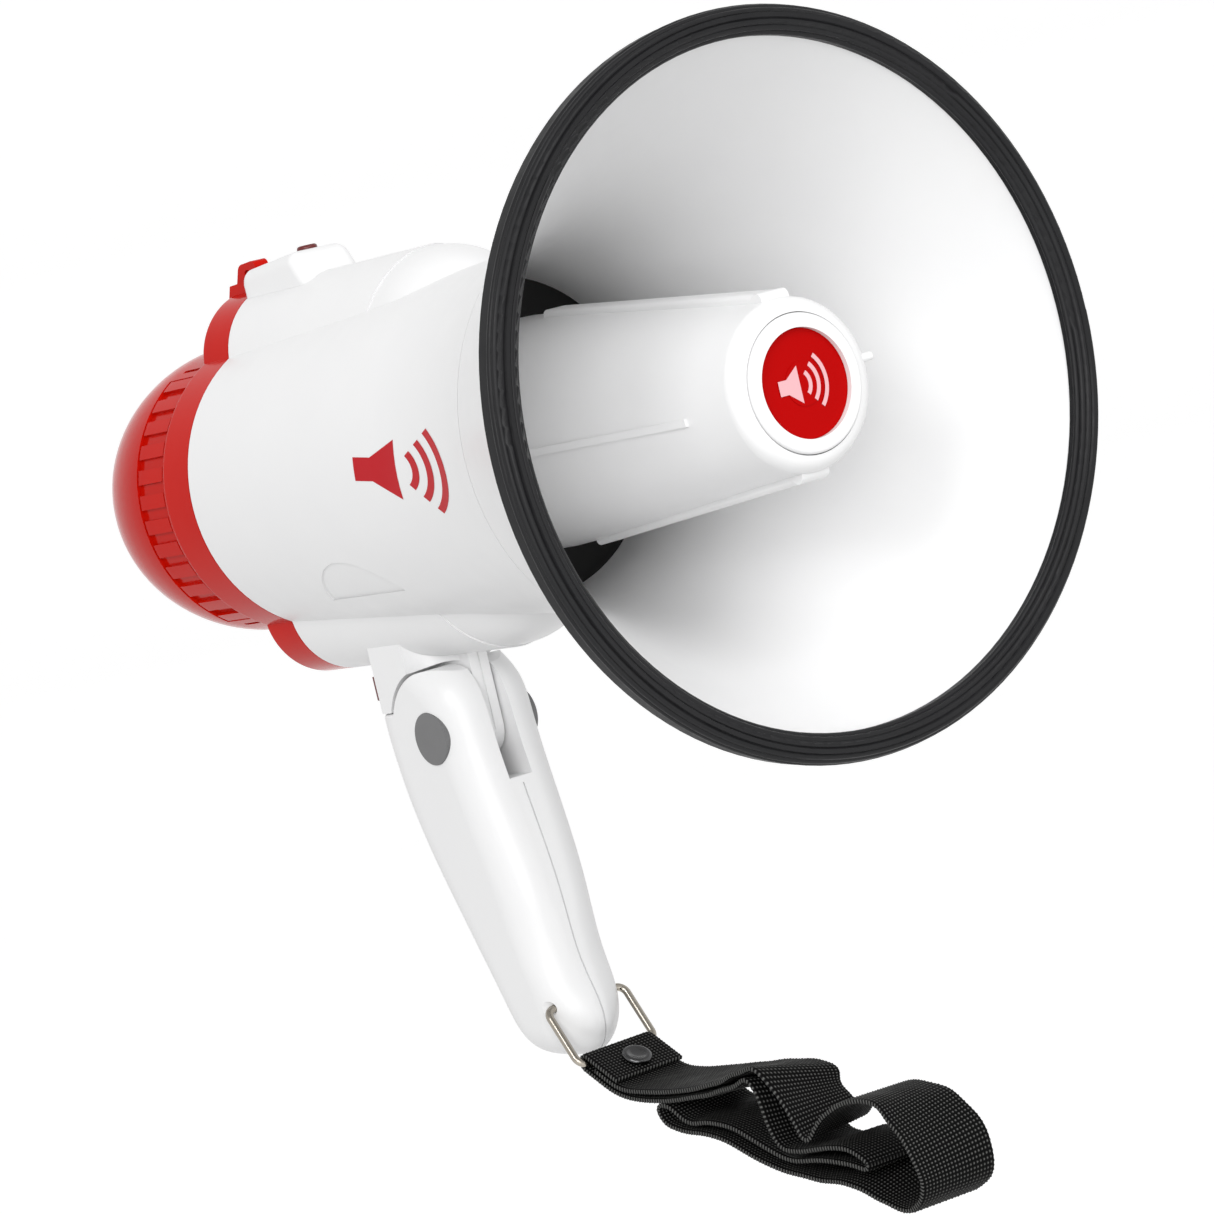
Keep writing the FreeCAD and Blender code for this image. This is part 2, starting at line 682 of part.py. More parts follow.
def switch_housing():
    """The white bump on the upper lobe that holds the signal button."""
    profile = outline(
        (160.5, 40.0),
        (160.5, 45.0),
        ("curve", (163.0, 46.5), (163.5, 51.3), (167.0, 51.6)),
        (186.6, 50.2),
        ("arc", (188.6, 49.2), (189.3, 47.0)),
        (189.3, 40.0),
    )
    shell = slab(profile, -8.2, 8.2)
    crests = []
    for edge in shell.Edges:
        centre = edge.CenterOfMass
        if abs(abs(centre.x) - 8.2) < 0.01 and centre.z > 45.6:
            crests.append(edge)
    shell = shell.makeFillet(3.0, crests)
    shell = shell.cut(pod_top_skin()).cut(block(-20, 20, 150, 200, 20, 43))
    shell = shell.cut(block(-20, 20, BARREL_REAR, 200, 20, POD_Z + POD_R + 0.4))
    hollow = block(-5.6, 5.6, 164.4, 185.5, 40, 49.4).cut(rod_y(POD_R + 0.6, 150, 200, 0, POD_Z))
    shell = shell.cut(hollow)
    return shell.cut(rod_z(2.4 + RUNNING * 4, 48, 54, 0, BUTTON_Y))


def signal_button():
    """A small domed push button with a flange that keeps it in the housing."""
    cap = rod_z(2.4, 48.4, 52.6, 0, BUTTON_Y)
    top = [edge for edge in cap.Edges if abs(edge.CenterOfMass.z - 52.6) < 0.01 and len(edge.Vertexes) == 1]
    cap = cap.makeFillet(0.7, top)
    return cap.fuse(rod_z(3.4, 48.4, 49.2, 0, BUTTON_Y))


def stem_bracket():
    """The bracket under the lower lobe: a thin lug between the handle's ears and a wide block behind it."""
    lug_front = 140.4
    lug_round = PIVOT_Y - lug_front
    lug = slab(
        outline(
            (lug_front, -36.0),
            (lug_front, PIVOT_Z),
            ("arc", (PIVOT_Y, PIVOT_Z - lug_round), (PIVOT_Y + lug_round, PIVOT_Z)),
            (159.0, -52.0),
            (159.0, -36.0),
        ),
        -LUG_HALF,
        LUG_HALF,
    )
    groove = block(-0.25, 0.25, lug_front - 1, lug_front + 0.3, -72, -46)
    front, waist, rear = 144.0, 152.2, 168.0
    half = BLOCK_HALF
    corner = 2.4
    plan = [Vector(-LUG_HALF, front, 0), Vector(LUG_HALF, front, 0)]
    flare_r = Part.Arc(plan[1], Vector(5.6, 149.6, 0), Vector(half, waist, 0)).toShape()
    flare_l = Part.Arc(Vector(-half, waist, 0), Vector(-5.6, 149.6, 0), plan[0]).toShape()
    edges = [
        Part.makeLine(plan[0], plan[1]),
        flare_r,
        Part.makeLine(Vector(half, waist, 0), Vector(half, rear - corner, 0)),
        Part.makeLine(Vector(half, rear - corner, 0), Vector(half - corner, rear, 0)),
        Part.makeLine(Vector(half - corner, rear, 0), Vector(corner - half, rear, 0)),
        Part.makeLine(Vector(corner - half, rear, 0), Vector(-half, rear - corner, 0)),
        Part.makeLine(Vector(-half, rear - corner, 0), Vector(-half, waist, 0)),
        flare_l,
    ]
    wide = Part.Face(Part.Wire(Part.__sortEdges__(edges))).extrude(Vector(0, 0, 22.0))
    wide.translate(Vector(0, 0, SHOULDER_Z + CLEAR))
    wide = wide.cut(rod_x(SEAT_R, -20, 20, PIVOT_Y, PIVOT_Z))
    shape = fused([lug.cut(groove), wide])
    shape = shape.cut(rod_y(POD_R, 100, 200, 0, -POD_Z)).cut(block(-30, 30, 130, 180, -38.6, 0))
    shape = shape.cut(rod_y(39.5, 120, 180))
    shape = shape.cut(rod_x(BOLT_R + RUNNING, -5, 5, PIVOT_Y, PIVOT_Z))
    # The talk button's pocket, the switch's pocket and the two spring holes.
    shape = shape.cut(block(-9.8, 9.8, 163.2, 170, -53.5, -47.2))
    shape = shape.cut(block(-3.2, 3.2, 159.6, 164, -50.6, -47.2))
    for x in (-6.5, 6.5):
        shape = shape.cut(rod_y(1.75, 159.8, 164, x, -49.4))
    for x in (-4.0, 4.0):
        shape = shape.cut(rod_z(0.9, SCREW_TIP, -40, x, 158.0))
    return shape


def talk_button():
    """The press-to-talk bar at the back of the bracket."""
    bar = block(-9.5, 9.5, 165.6, 171.8, -53.2, -47.5)
    rear_edges = [edge for edge in bar.Edges if abs(edge.CenterOfMass.y - 171.8) < 0.01]
    bar = bar.makeFillet(1.4, rear_edges)
    for x in (-6.5, 6.5):
        bar = bar.fuse(rod_y(0.9, 164.2, 166, x, -49.4))
    return fused([bar, block(-1.5, 1.5, 164.6, 166, -50.2, -48.2)])


def talk_springs():
    """The two return springs, at the length they have with the button pressed home."""
    springs = []
    for x in (-6.5, 6.5):
        springs.append(coil_spring(1.3, 0.22, 3.0, 4, Vector(x, 160.1, -49.4), AXIS_Y))
    return springs


def bracket_screws():
    """Two screws from inside the barrel into the bracket."""
    screws = []
    for x in (-4.0, 4.0):
        inner = -POD_Z - math.sqrt((POD_R - POD_WALL) ** 2 - 16.0)
        head = rod_z(1.9, inner + 0.1, inner + 0.9, x, 158.0)
        head = head.common(rod_y(POD_R - POD_WALL, 150, 170, 0, -POD_Z))
        screws.append(head.fuse(rod_z(0.9, SCREW_TIP, inner + 0.5, x, 158.0)))
    return screws


# ---- the handle --------------------------------------------------------------------------------------
def smooth_loop(points, inset=0.0):
    """A closed smooth curve, anticlockwise in the plane x = 0, as four tangent pieces.

    The points, given as (y, z), are first moved inwards by the inset.
    """
    through = [point(*p) for p in points]
    curve = Part.BSplineCurve()
    curve.interpolate(Points=through, PeriodicFlag=True)
    if inset:
        for index, knot in enumerate(curve.getKnots()[:-1]):
            along = curve.tangent(knot)[0]
            through[index] = through[index] + Vector(0, -along.z, along.y) * inset
        curve.interpolate(Points=through, PeriodicFlag=True)
    knots = curve.getKnots()
    marks = [0, len(points) // 4, len(points) // 2, 3 * len(points) // 4, len(points)]
    edges = []
    for first, last in zip(marks, marks[1:]):
        piece = curve.copy()
        piece.segment(knots[first], knots[last])
        edges.append(piece.toShape())
    return Part.Wire(edges)


def handle_outline(inset=0.0):
    """The handle's side view, before the shoulder behind the ears is cut."""
    points = (
        (149.5, -42.2),
        (143.2, -46.8),
        (138.6, -52.4),
        (136.4, -63.5),
        (133.4, -81.0),
        (129.6, -104.0),
        (127.6, -120.0),
        (124.6, -129.0),
        (124.9, -134.6),
        (129.5, FOOT_Z),
        (137.0, -139.9),
        (144.2, -138.9),
        (148.9, -135.4),
        (153.4, -125.6),
        (161.2, -102.8),
        (168.2, -80.0),
        (170.4, -66.0),
        (170.0, -52.0),
        (165.4, -43.4),
        (157.5, -40.4),
    )
    return smooth_loop(points, inset)


def handle_width(inset):
    """Everything nearer the middle than the handle's left face, which draws in towards the foot."""
    wide = SHELL_HALF - inset
    foot = SHELL_HALF_END - inset
    face = Part.BezierCurve()
    face.setPoles([
        Vector(-wide, 100, -30),
        Vector(-wide, 100, -92),
        Vector(2.1 - wide, 100, -112),
        Vector(-foot, 100, FOOT_Z - 2),
    ])
    foot_line = Part.makeLine(Vector(-foot, 100, FOOT_Z - 2), Vector(1, 100, FOOT_Z - 2))
    middle_line = Part.makeLine(Vector(1, 100, FOOT_Z - 2), Vector(1, 100, -30))
    top_line = Part.makeLine(Vector(1, 100, -30), Vector(-wide, 100, -30))
    wire = Part.Wire([face.toShape(), foot_line, middle_line, top_line])
    return Part.Face(wire).extrude(Vector(0, 90, 0))


def rounded(shape, edges, radii):
    """The shape with its edges rounded by the first radius of the list that works."""
    for radius in radii:
        try:
            result = shape.makeFillet(radius, edges)
        except Part.OCCError:
            continue
        if result.isValid() and len(result.Solids) == 1:
            return result.Solids[0]
    print("edges left sharp")
    return shape


def handle_blank():
    """The left half of the handle as a solid with round outer edges and the shoulder cut."""
    blank = one_solid(slab(handle_outline(), -20, 0).common(handle_width(0.0)))
    rim = [edge for edge in blank.Edges if edge.BoundBox.XMax < -5 and edge.Length > 50]
    blank = rounded(blank, rim, (9.0, 8.5, 8.0, 7.0, 6.0, 5.0))
    ear = rod_x(EAR_R - 0.2, 0.02 - SHELL_HALF, 0, PIVOT_Y, PIVOT_Z)
    ear = rounded(ear, [edge for edge in ear.Edges if edge.BoundBox.XMax < -5], (1.2,))
    above = block(-20, 1, PIVOT_Y - 8, 190, SHOULDER_Z, -30).cut(ear)
    blank = one_solid(blank.cut(above))
    ledge = []
    for edge in blank.Edges:
        box = edge.BoundBox
        flat = box.ZLength < 0.01 and abs(box.ZMin - SHOULDER_Z) < 0.01
        if flat and box.XMax < 0.1 and box.YMax > 164.5 and box.XLength > 1:
            ledge.append(edge)
    blank = rounded(blank, ledge, (0.8, 0.5))
    return seam_groove(blank)


def seam_groove(shell):
    """The shell with the small step that shows as a line where the two halves meet."""
    step = slab(handle_outline(-3.0), -SEAM_HALF, 1.0).cut(slab(handle_outline(SEAM_DEPTH), -1.0, 2.0))
    return one_solid(shell.cut(step.common(block(-2, 2, 100, 190, FOOT_Z - 5, PIVOT_Z - 14.0))))


def handle_shell():
    """The left shell: hollow below the ears, with bosses for the bolt, the screws and the ring."""
    blank = handle_blank()
    inside = slab(handle_outline(SHELL_WALL + 1.2), -20, 0).common(handle_width(SHELL_WALL + 1.2))
    inside = inside.cut(block(-21, 2, 100, 190, -78.0, -30))
    bosses = [rod_x(3.0, -20, 0, RING_Y, RING_Z)]
    for y, z in SCREW_POSTS:
        bosses.append(rod_x(2.6, -20, 0, y, z))
    for boss in bosses:
        inside = inside.cut(boss)
    slot = block(-SLOT_HALF, 1, 120, 180, -75.2, -40)
    return one_solid(blank.cut(inside).cut(slot))


def pivot_cuts(shell):
    """Bores for the bolt and the ring, and the recess for the bolt's head or nut under the grey cover."""
    shell = shell.cut(rod_x(BOLT_R, -20, 1, PIVOT_Y, PIVOT_Z))
    shell = shell.cut(rod_x(4.6, -SHELL_HALF - 1, -SHELL_HALF + 3.4, PIVOT_Y, PIVOT_Z))
    shell = shell.cut(rod_x(PAD_R + 0.05, -SHELL_HALF - 1, -SHELL_HALF + 1.3, PIVOT_Y, PIVOT_Z))
    shell = shell.cut(rod_x(WIRE_R + RUNNING, -20, 1, RING_Y, RING_Z))
    mouth = Part.makeCone(3.0, WIRE_R + RUNNING, 1.6, Vector(-RING_FACE - 0.4, RING_Y, RING_Z), AXIS_X)
    shell = shell.cut(mouth)
    for y, z in SCREW_POSTS:
        shell = shell.cut(rod_x(0.9, -7.0, 1, y, z))
    return one_solid(shell)


def screw_wells(shell):
    """Wells in the right shell for the heads of the handle's screws."""
    for y, z in SCREW_POSTS:
        shell = shell.cut(rod_x(0.9, -1, 20, y, z)).cut(rod_x(1.9, 5.0, 20, y, z))
    return one_solid(shell)


def handle_screws():
    screws = []
    for y, z in SCREW_POSTS:
        head = rod_x(1.8, 5.0, 6.6, y, z)
        slots = block(6.0, 7.0, y - 1.2, y + 1.2, z - 0.25, z + 0.25)
        slots = slots.fuse(block(6.0, 7.0, y - 0.25, y + 0.25, z - 1.2, z + 1.2))
        screws.append(head.fuse(rod_x(0.9, -6.6, 5.5, y, z)).cut(slots))
    return screws


def hexagon_x(radius, x_low, x_high, y, z):
    corners = []
    for step in range(7):
        turn = math.radians(60.0 * step)
        corners.append(Vector(x_low, y + radius * math.cos(turn), z + radius * math.sin(turn)))
    return Part.Face(Part.makePolygon(corners)).extrude(Vector(x_high - x_low, 0, 0))


# ---- ring and strap ----------------------------------------------------------------------------------
def ring_bar():
    lean = math.radians(RING_LEAN)
    return (RING_Y - RING_LEG * math.sin(lean), RING_Z - RING_LEG * math.cos(lean))


def strap_ring():
    """A wire frame: one side through the handle's foot, the other side holding the strap."""
    bend = 2.2
    lean = math.radians(RING_LEAN)
    down = Vector(0, -math.sin(lean), -math.cos(lean))
    top = Vector(0, RING_Y, RING_Z)
    low = top + down * RING_LEG
    corner = bend * (1 - math.sqrt(0.5))
    across = Vector(RING_HALF, 0, 0)
    inner = Vector(RING_HALF - bend, 0, 0)
    nick = Vector(RING_HALF - corner, 0, 0)
    edges = [
        Part.makeLine(top - inner, top + inner),
        Part.Arc(top + inner, top + nick + down * corner, top + across + down * bend).toShape(),
        Part.makeLine(top + across + down * bend, low + across - down * bend),
        Part.Arc(low + across - down * bend, low + nick - down * corner, low + inner).toShape(),
        Part.makeLine(low + inner, low - inner),
        Part.Arc(low - inner, low - nick - down * corner, low - across - down * bend).toShape(),
        Part.makeLine(low - across - down * bend, top - across + down * bend),
        Part.Arc(top - across + down * bend, top - nick + down * corner, top - inner).toShape(),
    ]
    path = Part.Wire(edges)
    section = Part.Wire(Part.Circle(Vector(0, RING_Y, RING_Z), AXIS_X, WIRE_R).toShape())
    halves = path.makePipeShell([section], True, True)
    return halves


def ribbon(points, thickness):
    """A flat strip along X's width whose side view follows the points, with round corners."""
    half = thickness / 2.0
    edge = path_wire(points, half + 0.6).makeOffset2D(half, 0, False, False, False)
    return slab(edge, -STRAP_WIDTH / 2, STRAP_WIDTH / 2)


def path_wire(points, least):
    """Straight runs joined by arcs as large as the runs allow."""
    edges = []
    here = point(*points[0])
    for index in range(1, len(points) - 1):
        before = point(*points[index - 1])
        corner = point(*points[index])
        after = point(*points[index + 1])
        back = (before - corner)
        ahead = (after - corner)
        reach = 0.45 * min(back.Length, ahead.Length)
        back.normalize()
        ahead.normalize()
        turn = math.pi - back.getAngle(ahead)
        radius = max(reach / math.tan(turn / 2), least)
        reach = radius * math.tan(turn / 2)
        start = corner + back * reach
        end = corner + ahead * reach
        inward = (back + ahead)
        inward.normalize()
        middle = corner + inward * (radius / math.cos(turn / 2) - radius)
        edges.append(Part.makeLine(here, start))
        edges.append(Part.Arc(start, middle, end).toShape())
        here = end
    edges.append(Part.makeLine(here, point(*points[-1])))
    return Part.Wire(edges)


def tab_point(along, up):
    """A point of the strap's tab: along it from the ring's bar, and up from its middle layer."""
    lean = math.radians(TAB_LEAN)
    bar_y, bar_z = ring_bar()
    y = bar_y + along * math.cos(lean) + up * math.sin(lean)
    z = bar_z + along * math.sin(lean) - up * math.cos(lean)
    return (y, z)


def in_tab(shape):
    """Places a shape drawn with the tab along +Y and its upper face towards +Z."""
    shape = shape.mirror(Vector(0, 0, 0), AXIS_Y)
    shape.rotate(Vector(0, 0, 0), AXIS_X, TAB_LEAN + 180)
    shape.translate(Vector(0, *ring_bar()))
    return shape


def strap_route():
    """The strap's side view: round the bar, out along the lower side, back along the upper side."""
    return (
        tab_point(TAB_LENGTH, LAYER),
        tab_point(-LAYER, LAYER),
        tab_point(-LAYER, -LAYER),
        tab_point(12.0, -LAYER),
        (103.0, -149.8),
        (96.0, -153.2),
        (88.0, -155.9),
        (79.0, -157.4),
        (68.0, -161.6),
        (55.0, -164.9),
        (43.0, -166.6),
        (31.0, -168.6),
        (18.8, -172.0),
        (11.6, -167.6),
        (11.8, -160.0),
        (17.6, -152.8),
        (25.0, -148.2),
        (33.4, -149.8),
        (42.0, -153.2),
        (50.0, -157.8),
        (57.6, -159.0),
        (60.6, -150.6),
        (58.8, -143.6),
        (64.4, -142.2),
        (73.6, -144.4),
        (83.0, -145.7),
        (94.0, -146.2),
        (103.0, -146.4),
        tab_point(12.4, 0.0),
        tab_point(3.4, 0.0),
    )


def wrist_strap():
    """The webbing: one end wrapped round the ring's bar, the other caught between, under one rivet."""
    strap = ribbon(strap_route(), WEBBING)
    hole = in_tab(Part.makeCylinder(1.3, 10, Vector(0, RIVET_AT, -5), AXIS_Z))
    return strap.cut(hole)


def strap_rivet():
    """The rivet through the three layers: a domed cap above, a shank and a flat foot below."""
    top = LAYER + WEBBING / 2
    cap = Part.makeCylinder(4.0, 1.5, Vector(0, RIVET_AT, top), AXIS_Z)
    crest = [edge for edge in cap.Edges if edge.BoundBox.ZMin > top + 1 and len(edge.Vertexes) == 1]
    cap = cap.makeFillet(1.1, crest)
    shank = Part.makeCylinder(1.3, 2 * top + 1, Vector(0, RIVET_AT, -top - 0.5), AXIS_Z)
    foot = Part.makeCylinder(3.4, 0.8, Vector(0, RIVET_AT, -top - 0.8), AXIS_Z)
    return in_tab(fused([cap, shank, foot]))


# ---- building ----------------------------------------------------------------------------------------
def build_horn():
    bell = horn_bell()
    save("horn_bell", bell)
    save("rim_rubber", rim_rubber(bell))
    save("nose_cone", nose_cone())
    save("nose_cap", nose_cap())
    save("nose_badge", nose_badge())
    save("sound_tube", sound_tube())
    save("throat_plate", throat_plate())
    names = ("driver_gasket", "driver_frame", "driver_diaphragm", "voice_coil", "driver_top_plate",
             "driver_magnet", "driver_yoke")
    for name, shape in zip(names, driver()):
        save(name, shape)
    save("driver_leads", *driver_leads())
    screw = screw_y(0, 31.0, TUBE_REAR + 4.8, THROAT_Y + 0.6, 0.8, 1.7, -1.6)
    save("driver_screws", *around_axis(screw, EAR_ANGLES))
    screw = rod_y(1.6, TUBE_REAR - 1.3, TUBE_REAR - 0.1, 0, POST_AT)
    screw = screw.fuse(rod_y(0.8, NOSE_REAR - 9.5, TUBE_REAR - 0.8, 0, POST_AT))
    save("nose_screws", *around_axis(screw, POST_ANGLES))


def build_barrel():
    save("barrel", barrel())
    save("battery_carrier", battery_carrier())
    save("front_contacts", *front_contacts())
    for number, (x, z) in enumerate(cell_centres()):
        save("battery_cell_%d" % (number + 1), battery_cell(x, z, number % 2 == 0))


def build_cap():
    save("rear_collar", rear_collar())
    save("rear_dome", rear_dome())
    save("contact_board", contact_board())
    save("rear_contacts", *rear_contacts())
    save("microphone_grille", microphone_grille())
    save("microphone_capsule", rod_y(4.8, 241.5, 247.5).fuse(rod_y(2.0, 239.5, 242.0)))
    save("microphone_boot", tube_y(6.6, 4.8, 241.0, 249.0))
    save("volume_knob", volume_knob())
    save("volume_shaft", rod_y(2.0, 224.2, 243.8, 0, KNOB_Z))
    save("volume_control", volume_control())
    save("amplifier_board", amplifier_board())
    save("board_components", *board_parts())
    screw = screw_y(0, 26.0, 217.6, 226.0, 0.9, 1.8, 1.4)
    save("board_screws", *around_axis(screw, BOARD_ANGLES))


def build_switches():
    save("switch_housing", switch_housing())
    save("signal_button", signal_button())
    switch = block(-3.0, 3.0, 167.0, 173.0, 46.5, 47.0)
    save("signal_switch", switch.fuse(rod_z(1.6, 46.5, 47.1, 0, BUTTON_Y)))
    save("stem_bracket", stem_bracket())
    save("talk_button", talk_button())
    save("talk_switch", block(-3.0, 3.0, 159.8, 162.4, -50.4, -47.5))
    save("talk_springs", *talk_springs())
    save("bracket_screws", *bracket_screws())


def build_handle():
    shell = pivot_cuts(handle_shell())
    save("handle_shell_left", shell)
    save("handle_shell_right", screw_wells(mirrored(shell)))
    save("handle_screws", *handle_screws())
    head = rod_x(4.5, -SHELL_HALF + 1.4, -SHELL_HALF + 3.4, PIVOT_Y, PIVOT_Z)
    shank = rod_x(BOLT_R, -SHELL_HALF + 2.4, SHELL_HALF - 1.6, PIVOT_Y, PIVOT_Z)
    slot = block(-11, -9.8, PIVOT_Y - 3.5, PIVOT_Y + 3.5, PIVOT_Z - 0.5, PIVOT_Z + 0.5)
    save("pivot_bolt", head.fuse(shank).cut(slot))
    nut = hexagon_x(4.5, SHELL_HALF - 3.4, SHELL_HALF - 1.6, PIVOT_Y, PIVOT_Z)
    save("pivot_nut", nut.cut(rod_x(BOLT_R, 0, 20, PIVOT_Y, PIVOT_Z)))
    cover = rod_x(PAD_R, -SHELL_HALF, -SHELL_HALF + 1.3, PIVOT_Y, PIVOT_Z)
    save("pivot_cover_left", cover)
    save("pivot_cover_right", mirrored(cover))
    washer = rod_x(6.0, -SLOT_HALF, -LUG_HALF - 0.05, PIVOT_Y, PIVOT_Z)
    washer = washer.cut(rod_x(BOLT_R, -9, 9, PIVOT_Y, PIVOT_Z))
    save("friction_washers", washer, mirrored(washer))
    save("strap_ring", strap_ring())
    save("wrist_strap", wrist_strap())
    save("strap_rivet", strap_rivet())


os.makedirs("parts", exist_ok=True)
build_horn()
build_barrel()
build_cap()
build_switches()
build_handle()
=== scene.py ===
"""Looks of the handheld megaphone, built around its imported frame.  Metres, +Z up, mouth towards -Y."""

import math

import bmesh
import bpy
from mathutils import Matrix, Vector


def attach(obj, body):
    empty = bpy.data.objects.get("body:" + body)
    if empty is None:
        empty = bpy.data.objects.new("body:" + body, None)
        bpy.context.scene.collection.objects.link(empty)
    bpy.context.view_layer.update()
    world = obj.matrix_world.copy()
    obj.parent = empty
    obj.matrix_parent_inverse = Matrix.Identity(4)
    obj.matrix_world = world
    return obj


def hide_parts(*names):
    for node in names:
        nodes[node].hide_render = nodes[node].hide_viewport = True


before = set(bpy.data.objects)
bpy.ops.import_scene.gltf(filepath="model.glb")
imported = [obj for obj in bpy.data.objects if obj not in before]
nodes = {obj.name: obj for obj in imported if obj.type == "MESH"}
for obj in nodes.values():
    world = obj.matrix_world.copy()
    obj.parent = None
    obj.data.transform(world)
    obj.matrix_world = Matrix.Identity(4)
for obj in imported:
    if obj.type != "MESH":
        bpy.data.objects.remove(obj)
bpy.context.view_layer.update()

# The horn's axis and mouth in the row's frame, in metres.
AXIS_Z = 0.0628
MOUTH_Y = -0.1475

# The barrel's outer skin, mm: the flare is one cubic, and behind it the barrel tapers.
FLARE_Y = (5.0, 40.0, 62.0, 106.0)
FLARE_RADII = (73.4, 53.8, 40.2, 38.9)
TAPER = 3.4 / 81.5

# ---- camera, floor and light -------------------------------------------------------------------------
CAMERA_AT = Vector((-0.60408, -0.90803, 0.09610))
CAMERA_RIGHT = Vector((0.78320, -0.57802, -0.22912))
CAMERA_UP = Vector((0.22663, -0.07776, 0.97087))
LENS = 142.34
MIDDLE = Vector((0.0, -0.02, 0.02))
FLOOR_Z = -0.30
LIGHT_DISTANCE = 1.6
SKY = 0.65
FLOOR_GLOW = 0.38

# ---- printed signs, mm ---------------------------------------------------------------------------------
SPEAKER_STEP = 0.55
SPEAKER_HALF = 3.1
SPEAKER_NECK = 4.4
SPEAKER_SLOPE = 0.72
SIDE_MARK_Y = 113.0
SIDE_MARK_Z = 2.0
SIDE_MARK_TILT = 6.0  # degrees
SIDE_MARK_STRETCH = (1.6, 0.84)
MARK_PROUD = 0.06
BADGE_MARK_Y = 2.20
BADGE_MARK_MIDDLE = 13.0
BADGE_MARK_SCALE = 0.5
ARC_CENTRE = 10.2
ARC_RADII = (5.2, 9.4, 13.6)
ARC_WIDTH = 1.9
ARC_REACH = 46  # degrees each side of the sign's middle line

# ---- wrist strap, mm -----------------------------------------------------------------------------------
BAR = (122.33, -139.98)  # the ring's bar: y back from the mouth, z up from the horn's axis
TAB_LEAN = math.radians(-150.0)  # direction of the tab away from the bar
LAYER = 1.65  # from the tab's middle layer to the next
WEBBING = 1.15
STRAP_WIDTH = 19.0
YARN = STRAP_WIDTH / 21
CELLS = 3  # mesh cells to a yarn
CREST = 0.27  # how far a yarn's crossing stands up
ODD_DROP = 0.07  # every other crossing is this much lower
VALLEY = 0.12
SELVEDGE = 0.94  # share of the half width where the edge starts to thin
EDGE_THINNING = 0.18
LEAST_BEND = 1.0
BEND_SHARE = 0.47  # share of the shorter run that a bend takes up
BEND_STEP = 0.12  # radians between the points of a bend
PLACE_PASSES = 6
SKEW_PASSES = 120
# The paler dots on the webbing's yarn crossings are painted highlights, standing in for the glint each crest
# catches.
CROSSING_HIGHLIGHT_SHARPNESS = 5.0
CROSSING_HIGHLIGHT_COLOUR = (0.13, 0.13, 0.125, 1.0)
RIVET_AT = 6.4  # the rivet's distance from the bar
RIVET_STEPS = 48


def add_camera():
    """The camera; its lens and sensor are in mm."""
    camera = bpy.data.cameras.new("camera")
    camera.lens = LENS
    camera.sensor_width = 36.0
    camera.clip_start = 0.05
    camera.clip_end = 30.0
    eye = bpy.data.objects.new("camera", camera)
    back = CAMERA_RIGHT.cross(CAMERA_UP).normalized()
    up = back.cross(CAMERA_RIGHT).normalized()
    turn = Matrix((CAMERA_RIGHT.normalized(), up, back)).transposed().to_4x4()
    eye.matrix_world = Matrix.Translation(CAMERA_AT) @ turn
    bpy.context.scene.collection.objects.link(eye)
    bpy.context.scene.camera = eye


def add_area(name, right, above, size, power):
    """A square soft light, its place given in degrees to the right of the camera and above the middle."""
    light = bpy.data.lights.new(name, "AREA")
    light.shape = "SQUARE"
    light.size = size
    light.energy = power
    lamp = bpy.data.objects.new(name, light)
    away = CAMERA_AT - MIDDLE
    turn = math.atan2(away.y, away.x) + math.radians(right)
    rise = math.radians(above)
    flat = math.cos(rise)
    reach = Vector((math.cos(turn) * flat, math.sin(turn) * flat, math.sin(rise))) * LIGHT_DISTANCE
    lamp.location = MIDDLE + reach
    lamp.rotation_euler = (-reach).to_track_quat("-Z", "Y").to_euler()
    bpy.context.scene.collection.objects.link(lamp)


def add_studio():
    """Even white light from all round, and four soft lamps on the camera's side."""
    world = bpy.data.worlds.new("studio")
    bpy.context.scene.world = world
    world.use_nodes = True
    sky = world.node_tree.nodes["Background"]
    sky.inputs["Color"].default_value = (1.0, 1.0, 1.0, 1.0)
    sky.inputs["Strength"].default_value = SKY
    add_area("key", -25.0, 28.0, 0.5, 6.6)
    add_area("front", 0.0, 8.0, 0.9, 10.0)
    add_area("right", 40.0, 40.0, 0.9, 7.4)
    add_area("low", 50.0, -20.0, 0.9, 5.0)


def add_floor():
    """A pale floor that curves up into a backdrop all round.

    It shows in reflections, but adds no diffuse light to the object.
    """
    rings = ((0.0, 0.0), (1.6, 0.0), (2.2, 0.03), (2.8, 0.16), (3.3, 0.5), (3.55, 1.1), (3.6, 2.0),
             (3.6, 3.5))
    around = 96
    vertices = [(0.0, 0.0, FLOOR_Z)]
    for radius, height in rings[1:]:
        for step in range(around):
            turn = 2 * math.pi * step / around
            vertices.append((radius * math.cos(turn), radius * math.sin(turn), FLOOR_Z + height))
    faces = [(0, 1 + step, 1 + (step + 1) % around) for step in range(around)]
    for ring in range(len(rings) - 2):
        low = 1 + ring * around
        high = low + around
        for step in range(around):
            after = (step + 1) % around
            faces.append((low + step, high + step, high + after, low + after))
    mesh = bpy.data.meshes.new("floor")
    mesh.from_pydata(vertices, [], faces)
    mesh.polygons.foreach_set("use_smooth", [True] * len(mesh.polygons))
    floor = bpy.data.objects.new("floor", mesh)
    bpy.context.scene.collection.objects.link(floor)
    paper = surface("floor_paper", (0.86, 0.86, 0.86), (0.85, 0.85, 0.85), 0.8,
                    Emission_Color=(1.0, 1.0, 1.0, 1.0), Emission_Strength=FLOOR_GLOW)
    floor.data.materials.append(paper)
    floor.visible_diffuse = False


